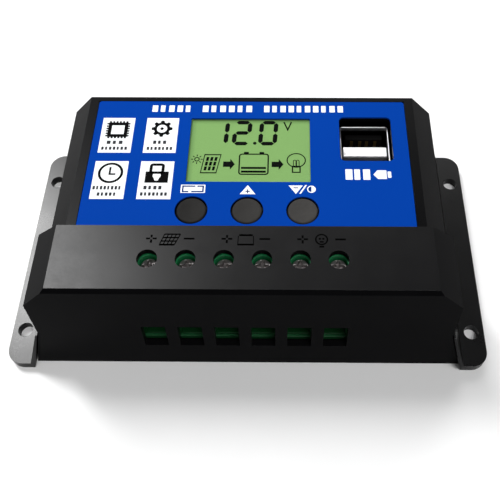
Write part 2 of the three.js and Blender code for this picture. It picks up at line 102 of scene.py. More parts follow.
def softbox(name, place, aim, size, power):
    """Rectangular lamp at a place, turned so that it shines at the aim point."""
    data = bpy.data.lights.new(name, "AREA")
    data.shape = "RECTANGLE"
    data.size, data.size_y = size
    data.energy = power
    lamp = bpy.data.objects.new(name, data)
    lamp.location = place
    lamp.rotation_euler = (Vector(aim) - Vector(place)).to_track_quat("-Z", "Y").to_euler()
    scene.collection.objects.link(lamp)


def skylight(name, towards, strength, spread):
    """Distant soft lamp that shines from a direction, as wide as a given angle in degrees."""
    data = bpy.data.lights.new(name, "SUN")
    data.energy = strength
    data.angle = math.radians(spread)
    lamp = bpy.data.objects.new(name, data)
    lamp.rotation_euler = Vector(towards).to_track_quat("Z", "Y").to_euler()
    scene.collection.objects.link(lamp)


def studio():
    """White walls under a dim ceiling, a low lamp behind, a high one above, a strip of light on the left."""
    world = bpy.data.worlds.new("studio")
    world.use_nodes = True
    room = world.node_tree
    sky = room.nodes["Background"]
    sky.inputs["Color"].default_value = (1, 1, 1, 1)
    axes = room.nodes.new("ShaderNodeSeparateXYZ")
    walls = room.nodes.new("ShaderNodeMapRange")
    wall_top, ceiling_edge, wall_light, ceiling_light = 0.14, 0.30, 1.0, 0.10
    for key, number in (("From Min", wall_top), ("From Max", ceiling_edge),
                        ("To Min", wall_light), ("To Max", ceiling_light)):
        walls.inputs[key].default_value = number
    room.links.new(room.nodes.new("ShaderNodeTexCoord").outputs["Object"], axes.inputs["Vector"])
    room.links.new(axes.outputs["Z"], walls.inputs["Value"])
    room.links.new(walls.outputs["Result"], sky.inputs["Strength"])
    scene.world = world
    scene.view_settings.view_transform = "Standard"
    skylight("behind", (0.10, 0.84, 0.55), 0.9, 30)
    skylight("above", (0.25, -0.30, 0.92), 1.45, 30)
    softbox("upper_left", (-0.46, 0.47, 0.84), (-0.06, -0.02, 0.02), (0.17, 0.42), 8.6)


# ---------------------------------------------------------------- materials
class Finish:
    """A node material: keeps the shader and adds nodes with short calls."""

    def __init__(self, name):
        self.material = bpy.data.materials.new(name)
        self.material.use_nodes = True
        self.tree = self.material.node_tree
        self.shader = self.tree.nodes["Principled BSDF"]
        coordinates = self.add("ShaderNodeTexCoord")
        self.place = coordinates.outputs["Object"]
        self.directions = coordinates.outputs["Normal"]

    def add(self, kind, **values):
        """New node with its properties set by name."""
        node = self.tree.nodes.new(kind)
        for key, value in values.items():
            setattr(node, key, value)
        return node

    def join(self, source, target):
        self.tree.links.new(source, target)

    def set(self, **values):
        """Plain values of the shader's own sockets, underscores for spaces."""
        for key, value in values.items():
            self.shader.inputs[key.replace("_", " ")].default_value = value

    def stretched(self, scale):
        """Object coordinates multiplied by a scale along each axis."""
        mapping = self.add("ShaderNodeMapping")
        mapping.inputs["Scale"].default_value = scale
        self.join(self.place, mapping.inputs["Vector"])
        return mapping.outputs["Vector"]

    def noise(self, scale, detail=3.0, vector=None):
        """Cloudy pattern between 0 and 1; scale is in waves per metre."""
        node = self.add("ShaderNodeTexNoise")
        node.inputs["Scale"].default_value = scale
        node.inputs["Detail"].default_value = detail
        self.join(vector or self.place, node.inputs["Vector"])
        return node.outputs["Fac"]

    def spread(self, value, low, high, start=0.3, end=0.7):
        """Value from start..end carried to low..high."""
        node = self.add("ShaderNodeMapRange")
        for key, number in (("From Min", start), ("From Max", end), ("To Min", low), ("To Max", high)):
            node.inputs[key].default_value = number
        self.join(value, node.inputs["Value"])
        return node.outputs["Result"]

    def turned_away(self):
        """1 on the upright side and rear walls, 0 on the wire side and on the slopes."""
        axes = self.axes(self.directions)
        aside = self.math("MAXIMUM", self.math("ABSOLUTE", axes["X"]), axes["Y"])
        return self.spread(aside, 0.0, 1.0, *UPRIGHT)

    def rubbed_edge(self):
        """1 on the part of a rounded edge that is turned a little away from level, 0 elsewhere."""
        upward = self.facing_up()
        return self.math("MULTIPLY", self.spread(upward, 0.0, 1.0, *RUBBED_LOW),
                         self.spread(upward, 1.0, 0.0, *RUBBED_HIGH))

    def axes(self, vector=None):
        """X, Y and Z of a vector, of the place in metres when none is given."""
        node = self.add("ShaderNodeSeparateXYZ")
        self.join(vector or self.place, node.inputs["Vector"])
        return node.outputs

    def facing_up(self):
        """Upward part of the surface's own direction: 1 on a level face, 0 on an upright wall."""
        return self.axes(self.directions)["Z"]

    def blend(self, factor, first, second):
        """Colour between two colours."""
        node = self.add("ShaderNodeMix", data_type="RGBA")
        self.join(factor, node.inputs["Factor"])
        for socket, colour in ((node.inputs[6], first), (node.inputs[7], second)):
            if isinstance(colour, tuple):
                socket.default_value = (*colour, 1.0)
            else:
                self.join(colour, socket)
        return node.outputs[2]

    def math(self, operation, first, second=0.0):
        node = self.add("ShaderNodeMath", operation=operation)
        for socket, value in zip(node.inputs, (first, second)):
            if isinstance(value, (int, float)):
                socket.default_value = value
            else:
                self.join(value, socket)
        return node.outputs["Value"]

    def relief(self, height, depth):
        """Bump of a given depth in metres."""
        node = self.add("ShaderNodeBump")
        node.inputs["Strength"].default_value = 1.0
        node.inputs["Distance"].default_value = depth
        self.join(height, node.inputs["Height"])
        self.join(node.outputs["Normal"], self.shader.inputs["Normal"])

    def colour(self, socket):
        self.join(socket, self.shader.inputs["Base Color"])

    def gloss(self, socket):
        self.join(socket, self.shader.inputs["Roughness"])


def floor_paint():
    """Chalk-white paper with a faint fibre."""
    paper = Finish("floor_paper")
    paper.colour(paper.blend(paper.noise(60), (0.93, 0.93, 0.93), (0.96, 0.96, 0.96)))
    paper.set(Roughness=0.85, Specular_IOR_Level=0.1)
    return paper.material


def moulded(name, dark, light, smooth, rough, grain=3200, depth=4e-6, sheen=0.5, slope_sheen=None, full=0.0):
    """Moulded plastic: cloudy tone, patches of gloss, and a spark-eroded grain.

    The mould is polished for the level faces, fully from a given height in metres, and left dull
    for the sloping ones and the wire side. Handling has rubbed the rounded upper edges shiny.
    """
    skin = Finish(name)
    skin.colour(skin.blend(skin.noise(90, 4), dark, light))
    patches = skin.math("ADD", skin.math("MULTIPLY", skin.noise(140, 5), 0.6),
                        skin.math("MULTIPLY", skin.noise(1500, 2), 0.4))
    skin.gloss(skin.spread(patches, smooth, rough, 0.35, 0.65))
    skin.relief(skin.noise(grain, 2), depth)
    if slope_sheen is None:
        skin.set(Specular_IOR_Level=sheen)
    else:
        polish = skin.spread(skin.facing_up(), 0.0, 1.0, *LEVEL)
        if full:
            raised = skin.spread(skin.axes()["Z"], DECK_SHARE, 1.0, full - 5 * MM, full)
            polish = skin.math("MULTIPLY", polish, raised)
        walls = skin.math("MULTIPLY", skin.turned_away(), WALL_SHEEN)
        level = skin.math("MAXIMUM", skin.spread(polish, slope_sheen, sheen, 0.0, 1.0), walls)
        level = skin.math("MAXIMUM", level, skin.math("MULTIPLY", skin.rubbed_edge(), EDGE_SHEEN))
        skin.join(level, skin.shader.inputs["Specular IOR Level"])
    return skin.material


def terminal_green():
    """Green block with painted shade: bright at the screws, and painted darker by height down in the wire
    mouths, where shade falls.
    """
    block = Finish("terminal_green")
    lit_green = block.blend(block.noise(90, 4), (0.006, 0.150, 0.048), (0.010, 0.190, 0.064))
    # painted shade: a darker copy of the green, blended in below 26 mm and full below 20 mm, stands in for
    # the shade down in the wire mouths
    painted_shade_green = block.blend(block.noise(400, 4), (0.001, 0.040, 0.008), (0.002, 0.055, 0.012))
    block.colour(block.blend(block.spread(block.axes()["Z"], 0.0, 1.0, 20 * MM, 26 * MM), painted_shade_green, lit_green))
    block.gloss(block.spread(block.noise(1500, 2), 0.35, 0.5))
    block.relief(block.noise(3200, 2), 4e-6)
    block.set(Specular_IOR_Level=0.2)
    return block.material


def plated(name, colour, dull, smooth, rough, along=(40, 900, 40)):
    """Metal with fine drawn lines along one axis and a slightly clouded plating."""
    skin = Finish(name)
    lines = skin.noise(1.0, 4, skin.stretched(tuple(40 * a for a in along)))
    skin.colour(skin.blend(skin.noise(500, 3), dull, colour))
    skin.gloss(skin.spread(lines, smooth, rough))
    skin.relief(lines, 2e-6)
    skin.set(Metallic=1.0)
    return skin.material


def cap_plastic():
    """Satin grey caps with a painted reflection: a little darker on the left of the row than on the right."""
    cap = Finish("cap_grey")
    # painted reflection: the caps' grey rises from dark on the left of the row to light on the right, as the
    # lamps' reflections fall
    painted_reflection_ramp = cap.spread(cap.axes()["X"], 0.0, 1.0, -19 * MM, 19 * MM)
    tone = cap.blend(painted_reflection_ramp, (0.010, 0.0095, 0.009), (0.050, 0.048, 0.046))
    cap.colour(cap.blend(cap.spread(cap.noise(900, 3), 0.0, 0.25), tone, (0.020, 0.019, 0.018)))
    cap.gloss(cap.spread(cap.noise(1500, 3), 0.50, 0.64))
    cap.relief(cap.noise(2600, 2), 5e-6)
    cap.set(Specular_IOR_Level=0.08)
    return cap.material


def folded_metal():
    """Plated can: bright at its rim, with painted shade that turns it dark a millimetre down inside the
    mouth.
    """
    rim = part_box("usb_shell")[1].z
    can = Finish("usb_metal")
    # painted shade: from 1.1 mm below the rim to 1.7 mm down, the metal's colour fades to near black,
    # standing in for the shade inside the socket
    depth = can.spread(can.axes()["Z"], 0.0, 1.0, rim - 1.7 * MM, rim - 1.1 * MM)
    lines = can.noise(1.0, 2, can.stretched((900, 60, 60)))
    bright = can.blend(can.noise(600, 3), (0.80, 0.81, 0.82), (0.90, 0.90, 0.91))
    can.colour(can.blend(depth, (0.006, 0.006, 0.007), bright))
    can.gloss(can.spread(lines, 0.36, 0.42))
    can.relief(lines, 2e-7)
    can.set(Metallic=1.0)
    return can.material


def label_film():
    """Blue printed film: a slow change of tone, a fine screen and a satin top coat."""
    film = Finish("label_blue")
    screen = film.noise(5200, 1)
    tone = film.blend(film.noise(22, 2), (0.0010, 0.040, 0.300), (0.0016, 0.046, 0.330))
    film.colour(film.blend(film.spread(screen, 0.0, 0.10), tone, (0.004, 0.060, 0.40)))
    film.gloss(film.spread(film.noise(700, 3), 0.42, 0.54))
    film.relief(screen, 2e-6)
    film.set(Specular_IOR_Level=0.004)
    return film.material


def ink(name, colour, other):
    """Screen-printed ink with small pinholes of tone."""
    skin = Finish(name)
    skin.colour(skin.blend(skin.noise(2600, 3), colour, other))
    skin.gloss(skin.spread(skin.noise(900, 2), 0.45, 0.6))
    skin.relief(skin.noise(4200, 1), 1.5e-6)
    skin.set(Specular_IOR_Level=0.015)
    return skin.material


def lcd_cell():
    """Green cell: its rear diffuser is grainy, and painted shade darkens it towards its left and back edges.
    """
    lo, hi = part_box("lcd_window")
    cell = Finish("lcd_green")
    axes = cell.axes()
    # painted shade: the cell's green darkens over 1.6 mm at its left edge and over 1.4 mm at its back edge,
    # standing in for the shade cast by the window's edge
    side = cell.spread(axes["X"], 0.0, 1.0, lo.x, lo.x + 1.6 * MM)
    rear = cell.spread(axes["Y"], 1.0, 0.0, hi.y - 1.4 * MM, hi.y + 0.2 * MM)
    painted_light_mask = cell.math("MULTIPLY", side, rear)
    lit_cell_green = cell.blend(cell.noise(1800, 2), (0.185, 0.345, 0.108), (0.205, 0.375, 0.122))
    cell.colour(cell.blend(painted_light_mask, (0.120, 0.240, 0.075), lit_cell_green))
    cell.gloss(cell.spread(cell.noise(2400, 2), 0.35, 0.5))
    cell.relief(cell.noise(2400, 2), 2e-6)
    cell.set(Specular_IOR_Level=0.04)
    return cell.material


def clear_window():
    """Thin hard-coated clear film with a few fine rubs in its gloss."""
    pane = Finish("clear_film")
    rubs = pane.noise(1.0, 3, pane.stretched((90, 1600, 90)))
    pane.gloss(pane.spread(rubs, 0.06, 0.16))
    pane.colour(pane.blend(rubs, (0.30, 0.36, 0.30), (0.36, 0.42, 0.36)))
    pane.set(Alpha=0.004, Specular_IOR_Level=0.03)
    return pane.material


def circuit_laminate():
    """Green solder mask with the darker weave of the glass cloth below it."""
    board = Finish("solder_mask")
    weave = board.add("ShaderNodeTexChecker")
    weave.inputs["Scale"].default_value = 900.0
    board.join(board.place, weave.inputs["Vector"])
    tone = board.blend(weave.outputs["Fac"], (0.008, 0.075, 0.022), (0.011, 0.095, 0.030))
    board.colour(board.blend(board.noise(300), tone, (0.012, 0.11, 0.035)))
    board.gloss(board.spread(board.noise(800), 0.3, 0.45))
    board.relief(weave.outputs["Fac"], 4e-6)
    return board.material


def groove_shadow():
    """Bottom of a fine engraved line: rough and almost without light."""
    skin = Finish("engraving")
    skin.colour(skin.blend(skin.noise(2500), (0.0004, 0.0004, 0.0004), (0.0010, 0.0010, 0.0010)))
    skin.gloss(skin.spread(skin.noise(1800), 0.8, 0.95))
    skin.relief(skin.noise(3000), 4e-6)
    skin.set(Specular_IOR_Level=0.01)
    return skin.material


def finishes():
    """Every finish of the object, by the record's slot or by its use."""
    return {
        "cover_plastic": moulded("cover_black", (0.0022, 0.0022, 0.0025), (0.0036, 0.0036, 0.0040),
                                 0.31, 0.355, depth=2e-6, sheen=0.22, slope_sheen=0.012, full=34 * MM),
        "tray_plastic": moulded("tray_black", (0.0018, 0.0018, 0.0020), (0.0030, 0.0030, 0.0033), 0.27, 0.31,
                                depth=1.5e-6, sheen=0.38, slope_sheen=0.10),
        "frame_plastic": moulded("frame_black", (0.002, 0.002, 0.002), (0.004, 0.004, 0.004),
                                 0.5, 0.65, sheen=0.03),
        "button_plastic": cap_plastic(),
        "terminal_plastic": terminal_green(),
        "chip_resin": moulded("chip_black", (0.008, 0.008, 0.009), (0.014, 0.014, 0.015),
                              0.5, 0.7, 4200, 6e-6),
        "capacitor_sleeve": moulded("sleeve_dark", (0.010, 0.012, 0.024), (0.016, 0.019, 0.034), 0.2, 0.3),
        "light_guide": moulded("diffuser_white", (0.72, 0.78, 0.70), (0.82, 0.87, 0.80), 0.4, 0.55),
        "ferrite": moulded("ferrite_grey", (0.035, 0.036, 0.039), (0.055, 0.056, 0.060),
                           0.6, 0.8, 5000, 8e-6),
        "brass": plated("cage_brass", (0.58, 0.47, 0.22), (0.44, 0.34, 0.14), 0.22, 0.40),
        "tinned_metal": plated("tin", (0.68, 0.69, 0.70), (0.54, 0.55, 0.56), 0.28, 0.45),
        "circuit_board": circuit_laminate(),
        "label_film": label_film(),
        "lcd_glass": lcd_cell(),
        "clear_window": clear_window(),
        "white_ink": ink("white_ink", (0.93, 0.95, 0.96), (0.88, 0.91, 0.93)),
        "black_ink": ink("black_ink", (0.0016, 0.0016, 0.0018), (0.0035, 0.0035, 0.0038)),
        "grey_ink": ink("grey_ink", (0.022, 0.022, 0.026), (0.040, 0.040, 0.046)),
        "blue_ink": ink("blue_ink", (0.002, 0.022, 0.14), (0.003, 0.030, 0.18)),
        "lcd_ink": ink("lcd_dark", (0.0004, 0.0010, 0.0004), (0.0010, 0.0020, 0.0010)),
        "engraving": groove_shadow(),
        "usb_metal": folded_metal(),
        "usb_strap": plated("strap_plate", (0.93, 0.93, 0.94), (0.88, 0.88, 0.89), 0.42, 0.50, (4, 20, 4)),
        "screw_steel": plated("screw_plate", (0.42, 0.39, 0.39), (0.30, 0.28, 0.28), 0.34, 0.46),
        # painted shade: the contacts' gold is darkened to about a tenth of its own brightness, standing in
        # for the shade deep in the socket
        "gold": plated("shaded_contact_gold", (0.10, 0.07, 0.025), (0.06, 0.04, 0.015), 0.45, 0.6),
    }


# ---------------------------------------------------------------- meshes
def quads(rows, columns, close_rows=False, close_columns=True):
    """Corner numbers of the four-sided faces between neighbouring rows and columns of points."""
    row = np.arange(rows if close_rows else rows - 1)
    column = np.arange(columns if close_columns else columns - 1)
    r, c = np.meshgrid(row, column, indexing="ij")
    down, right = (r + 1) % rows, (c + 1) % columns
    return np.stack([r * columns + c, r * columns + right, down * columns + right, down * columns + c],
                    -1).reshape(-1, 4)


def finish_mesh(name, points, faces, smooth_angle=35):
    """Mesh in metres from points in millimetres, welded, with its faces turned outwards."""
    mesh = bpy.data.meshes.new(name)
    mesh.from_pydata((np.asarray(points, float) * MM).tolist(), [], [list(map(int, f)) for f in faces])
    work = bmesh.new()
    work.from_mesh(mesh)
    bmesh.ops.remove_doubles(work, verts=work.verts, dist=1e-7)
    bmesh.ops.recalc_face_normals(work, faces=work.faces)
    work.to_mesh(mesh)
    work.free()
    mesh.shade_smooth()
    mesh.set_sharp_from_angle(angle=math.radians(smooth_angle))
    return mesh


def place(name, mesh, look, slot, body=HOUSING, stands_for=()):
    """Links a finished mesh as a piece of a body, with its material and the nodes it stands for."""
    piece = bpy.data.objects.new(name, mesh)
    mesh.materials.clear()
    mesh.materials.append(look)
    scene.collection.objects.link(piece)
    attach(piece, body)
    if stands_for:
        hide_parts(*stands_for)
    return piece


def body_of(node):
    """Name of the moving body that a node belongs to."""
    bodies = frame["record"]["behaviour"]["bodies"]
    return next(body for body, members in bodies.items() if node in members)


def slot_of(node):
    """Material slot that the record gives a node."""
    return next(s["material_slot"] for s in frame["record"]["subparts"] if s["node"] == node)


def softened(node, looks, radius, segments=3, cuts=()):
    """Copy of a node with its triangles merged into whole faces and its edges rounded.

    The merged faces are divided along the cuts (point and direction), which keeps them compact.
    """
    work = bmesh.new()
    work.from_mesh(frame["nodes"][node].data)
    bmesh.ops.remove_doubles(work, verts=work.verts, dist=1e-6)
    bmesh.ops.dissolve_limit(work, angle_limit=math.radians(MERGE_ANGLE), verts=work.verts, edges=work.edges)
    for point, direction in cuts:
        parts = work.verts[:] + work.edges[:] + work.faces[:]
        bmesh.ops.bisect_plane(work, geom=parts, dist=1e-7, plane_co=point, plane_no=direction)
    wide = [face for face in work.faces if len(face.verts) > 4]
    bmesh.ops.triangulate(work, faces=wide, quad_method="BEAUTY", ngon_method="BEAUTY")
    work.verts.index_update()
    points = [tuple(v.co / MM) for v in work.verts]
    faces = [[v.index for v in f.verts] for f in work.faces]
    work.free()
    name = node + "_finished"
    piece = place(name, finish_mesh(name, points, faces), looks[slot_of(node)], slot_of(node),
                  body_of(node), (node,))
    rounding = piece.modifiers.new("rounding", "BEVEL")
    rounding.width = radius * MM
    rounding.segments = segments
    rounding.limit_method = "ANGLE"
    rounding.angle_limit = math.radians(ROUND_ANGLE)
    rounding.harden_normals = True
    rounding.loop_slide = False
    return piece


def turned(profile, centre, steps=64):
    """Points and faces of a profile of radius and height carried round an upright axis."""
    radius, height = np.asarray(profile, float).T
    angle = np.linspace(0, 2 * np.pi, steps, endpoint=False)
    x = centre[0] + radius[:, None] * np.cos(angle)
    y = centre[1] + radius[:, None] * np.sin(angle)
    z = np.broadcast_to(height[:, None], x.shape)
    return np.stack([x, y, z], -1).reshape(-1, 3), quads(len(radius), steps)


def arc(centre, radius, start, end, steps):
    """Points of a circular arc between two angles in degrees."""
    angle = np.radians(np.linspace(start, end, steps))
    return np.stack([centre[0] + radius * np.cos(angle), centre[1] + radius * np.sin(angle)], -1)


def middle(node):
    """Centre of a node in plan, in millimetres."""
    lo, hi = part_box(node)
    return (lo.x + hi.x) / 2 / MM, (lo.y + hi.y) / 2 / MM


# ---------------------------------------------------------------- flat artwork
class Print:
    """Thin raised sheet of ink, or of painted groove shade: collects prisms on one surface and makes one
    piece of them.
    """

    def __init__(self, low, thickness=0.02):
        self.low, self.high = low, low + thickness
        self.points, self.faces, self.count = [], [], 0

    def _add(self, points, faces):
        self.points.append(points)
        self.faces += [[i + self.count for i in face] for face in faces]
        self.count += len(points)

    def shape(self, outline):
        """Prism over a closed outline."""
        flat = np.asarray(outline, float)
        n = len(flat)
        levels = [np.column_stack([flat, np.full(n, z)]) for z in (self.low, self.high)]
        sides = quads(2, n).tolist()
        self._add(np.vstack(levels), [list(range(n))[::-1], list(range(n, 2 * n)), *sides])

    def band(self, outer, inner):
        """Prism between two closed outlines with the same number of points."""
        outer, inner = np.asarray(outer, float), np.asarray(inner, float)
        n = len(outer)
        loops = [(outer, self.low), (outer, self.high), (inner, self.high), (inner, self.low)]
        points = np.vstack([np.column_stack([flat, np.full(n, z)]) for flat, z in loops])
        self._add(points, quads(4, n, close_rows=True).tolist())

    def bar(self, x0, x1, y0, y1, radius=0.0):
        self.shape(rounded(x0, x1, y0, y1, radius))

    def frame(self, x0, x1, y0, y1, width, radius=0.0):
        outer = radius + width if radius else 0.04
        self.band(rounded(x0, x1, y0, y1, outer),
                  rounded(x0 + width, x1 - width, y0 + width, y1 - width, max(radius, 0.04)))

    def stroke(self, path, width):
        """Band of even width along an open path, with mitred corners."""
        path = np.asarray(path, float)
        step = np.diff(path, axis=0)
        step /= np.linalg.norm(step, axis=1)[:, None]
        before = np.vstack([step[:1], step])
        after = np.vstack([step, step[-1:]])
        normal = np.stack([-(before + after)[:, 1], (before + after)[:, 0]], -1)
        normal /= np.linalg.norm(normal, axis=1)[:, None]
        square = np.stack([-after[:, 1], after[:, 0]], -1)
        reach = width / 2 / np.clip((normal * square).sum(1), 0.3, 1)[:, None]
        self.shape(np.vstack([path + normal * reach, (path - normal * reach)[::-1]]))

    def disc(self, centre, radius, steps=32):
        self.shape(arc(centre, radius, 0, 360 - 360 / steps, steps))

    def ring(self, centre, radius, width, steps=48, flat=1.0):
        """Circle line; flat below 1 makes it an ellipse, lower than wide."""
        turn = arc((0, 0), 1, 0, 360 - 360 / steps, steps)
        around = np.array([1, flat])
        self.band(centre + turn * around * radius, centre + turn * (around * radius - width))

    def piece(self, name, look, slot, body=HOUSING):
        return place(name, finish_mesh(name, np.vstack(self.points), self.faces), look, slot, body)


def rounded(x0, x1, y0, y1, radius, steps=5):
    """Outline of a rectangle with round corners."""
    if radius <= 0:
        return np.array([(x0, y0), (x1, y0), (x1, y1), (x0, y1)], float)
    radius = min(radius, (x1 - x0) / 2, (y1 - y0) / 2)
    corners = ((x1, y0, -90), (x1, y1, 0), (x0, y1, 90), (x0, y0, 180))
    centre = [(x - radius if x == x1 else x + radius, y - radius if y == y1 else y + radius, a)
              for x, y, a in corners]
    return np.vstack([arc((x, y), radius, a, a + 90, steps) for x, y, a in centre])


def blocks(sheet, left, right, low, high, count, fill=0.72):
    """Row of plain blocks that stands for a word, each as wide as a letter."""
    pitch = (right - left) / count
    for index in range(count):
        start = left + index * pitch
        sheet.bar(start, start + fill * pitch * (0.82 + 0.18 * (index % 3 != 1)), low, high, 0.12)


CARDS = {"chip": (-43.45, 16.45), "gear": (-30.5, 16.45), "clock": (-43.45, 0.45), "lock": (-30.5, 0.45)}
CARD_SIZE = (9.4, 12.95)


def white_print(top):
    """White ink of the label: title, cards, USB mark and the marks of the buttons."""
    ink_sheet = Print(top)
    for left, right, count in ((-29.4, -17.0, 5), (-14.4, 1.2, 6), (3.9, 28.2, 10)):
        blocks(ink_sheet, left, right, 31.85, 34.35, count, 0.66)
    for x, y in CARDS.values():
        ink_sheet.bar(x, x + CARD_SIZE[0], y, y + CARD_SIZE[1], 0.05)
    blocks(ink_sheet, 27.2, 34.6, 7.3, 10.9, 3, 0.8)
    ink_sheet.shape([(35.0, 9.1), (36.2, 10.6), (38.7, 10.6), (38.7, 7.6), (36.2, 7.6)])
    ink_sheet.bar(39.0, 40.0, 8.0, 10.2, 0.25)
    menu, up, down = (middle("button_cap_" + name)[0] for name in BUTTONS)
    ink_sheet.bar(menu - 3.4, menu + 3.4, 2.6, 5.35, 0.1)
    ink_sheet.shape([(up - 2.15, 2.25), (up + 2.15, 2.25), (up, 5.3)])
    ink_sheet.shape([(down - 3.85, 5.25), (down + 0.1, 5.25), (down - 1.87, 2.4)])
    ink_sheet.shape([(down - 0.95, 2.5), (down - 0.45, 2.5), (down + 1.25, 5.4), (down + 0.75, 5.4)])
    ink_sheet.disc((down + 2.45, 4.0), 1.2)
    return ink_sheet


def toothed(sheet, x0, x1, y0, y1, count, length):
    """Short square teeth on the four sides of a rectangle."""
    pitch_x, pitch_y = (x1 - x0) / count, (y1 - y0) / count
    for index in range(count):
        x = x0 + (index + 0.5) * pitch_x
        y = y0 + (index + 0.5) * pitch_y
        sheet.bar(x - 0.31 * pitch_x, x + 0.31 * pitch_x, y1 - 0.05, y1 + length)
        sheet.bar(x - 0.31 * pitch_x, x + 0.31 * pitch_x, y0 - length, y0 + 0.05)
        sheet.bar(x0 - length, x0 + 0.05, y - 0.31 * pitch_y, y + 0.31 * pitch_y)
        sheet.bar(x1 - 0.05, x1 + length, y - 0.31 * pitch_y, y + 0.31 * pitch_y)


def gear_outline(centre, root, tip, teeth=8, steps=6):
    """Closed outline whose radius steps between a root and a tip circle, once for each tooth."""
    angle = np.linspace(0, 2 * np.pi, teeth * steps * 2, endpoint=False) + np.pi / teeth / 2
    wave = np.clip(2.2 * np.cos(teeth * (angle - np.pi / 2)) + 0.6, 0, 1)
    radius = root + (tip - root) * wave
    return np.stack([centre[0] + radius * np.cos(angle), centre[1] + radius * np.sin(angle)], -1)


def black_print(top):
    """Pictograms of the four cards: a chip, a gear, a clock and a padlock."""
    sheet = Print(top)
    sheet.frame(-41.6, -35.8, 22.2, 27.6, 1.05)
    toothed(sheet, -41.6, -35.8, 22.2, 27.6, 6, 0.5)
    hub = (-25.8, 25.35)
    outer = gear_outline(hub, 2.35, 3.05)
    inner = np.asarray(hub) + (outer - hub) * (1.5 / np.linalg.norm(outer - hub, axis=1))[:, None]
    sheet.band(outer, inner)
    sheet.disc(hub, 0.5)
    face = (-38.7, 9.3)
    sheet.ring(face, 3.55, 0.72)
    sheet.stroke([(-38.95, 11.3), (-38.95, 8.85), (-37.3, 8.85)], 0.55)
    sheet.frame(-27.9, -23.65, 9.0, 12.65, 0.85, 0.1)
    sheet.band(rounded(-28.85, -22.35, 5.95, 9.8, 0.05, 8), keyhole((-25.65, 8.45)))
    return sheet


def keyhole(centre):
    """Outline of a round hole that runs down into a short blunt foot, with 32 points."""
    turn = np.linspace(-0.25 * np.pi, 1.25 * np.pi, 30)
    round_part = np.stack([centre[0] + 1.15 * np.cos(turn), centre[1] + 1.1 * np.sin(turn)], -1)
    foot = np.array([(centre[0] - 0.45, centre[1] - 1.75), (centre[0] + 0.45, centre[1] - 1.75)])
    return np.roll(np.vstack([round_part, foot]), 1, axis=0)


def caption_print(top):
    """Two rows of small grey blocks under each pictogram."""
    sheet = Print(top)
    rows = ((-41.3, -36.1, 19.6, 20.8, 3), (-42.6, -34.8, 17.5, 18.6, 7), (-27.9, -23.6, 19.7, 20.9, 3),
            (-29.5, -21.8, 17.5, 18.6, 7), (-43.0, -34.8, 3.6, 4.8, 8), (-41.5, -35.9, 1.5, 2.6, 5),
            (-28.9, -23.4, 3.7, 4.9, 4), (-29.6, -21.8, 1.6, 2.7, 7))
    for left, right, low, high, count in rows:
        blocks(sheet, left, right, low, high, count, 0.62)
    return sheet


def blue_print(top):
    """Blue lines that show through the white marks of the buttons."""
    sheet = Print(top)
    menu, up, down = (middle("button_cap_" + name)[0] for name in BUTTONS)
    sheet.stroke([(menu - 1.2, 3.05), (menu - 2.8, 3.05), (menu - 2.8, 4.85), (menu + 0.6, 4.85)], 0.42)
    sheet.stroke([(menu + 1.2, 4.85), (menu + 2.8, 4.85), (menu + 2.8, 3.05), (menu - 0.4, 3.05)], 0.42)
    sheet.bar(up - 0.62, up + 0.62, 3.05, 3.35)
    sheet.bar(up - 0.15, up + 0.15, 2.55, 3.85)
    sheet.bar(down - 2.5, down - 1.25, 4.3, 4.6)
    dark_half = arc((down + 2.45, 4.0), 0.9, 90, 270, 12)
    sheet.shape(np.vstack([dark_half, [(down + 2.45, 3.1), (down + 2.45, 4.9)]]))
    return sheet


SEGMENTS = {"1": "bc", "2": "abged", "0": "abcdef"}


def digit(sheet, character, centre, half=2.1, height=7.85, width=1.3, lean=0.055):
    """Seven-segment numeral: six-sided bars between the corners of two stacked squares, leaning right."""
    x, y = centre
    h = height / 2
    ends = {"a": ((-1, 1), (1, 1)), "b": ((1, 1), (1, 0)), "c": ((1, 0), (1, -1)), "d": ((1, -1), (-1, -1)),
            "e": ((-1, -1), (-1, 0)), "f": ((-1, 0), (-1, 1)), "g": ((-1, 0), (1, 0))}
    for letter in SEGMENTS[character]:
        a, b = (np.array(p, float) * (half, h) for p in ends[letter])
        along = (b - a) / np.linalg.norm(b - a)
        side = np.array([-along[1], along[0]]) * width / 2
        a, b = a + along * 0.13, b - along * 0.13
        nose = along * width / 2
        bar = np.array([a, a + nose + side, b - nose + side, b, b - nose - side, a + nose - side])
        bar[:, 0] += lean * bar[:, 1]
        sheet.shape(bar + (x, y))


def arrow(sheet, x, y):
    """Solid arrow to the right, 3.3 mm long."""
    sheet.shape([(x, y - 0.93), (x + 2.0, y - 0.93), (x + 2.0, y - 1.9), (x + 3.35, y),
                 (x + 2.0, y + 1.9), (x + 2.0, y + 0.93), (x, y + 0.93)])


def panel_cells(sheet, corners, cells=3, margin=0.13, gap=0.09):
    """Cells of a leaning panel: an even grid carried between its four corners."""
    top_left, top_right, bottom_right, bottom_left = (np.array(c, float) for c in corners)

    def spot(u, v):
        upper = top_left + (top_right - top_left) * u
        lower = bottom_left + (bottom_right - bottom_left) * u
        return upper + (lower - upper) * v

    size = (1 - 2 * margin) / cells
    for row in range(cells):
        for column in range(cells):
            u, v = margin + column * size + gap * size * 2, margin + row * size + gap * size
            right, low = u + size * (1 - 4 * gap), v + size * (1 - 2 * gap)
            sheet.shape([spot(u, v), spot(u, low), spot(right, low), spot(right, v)])


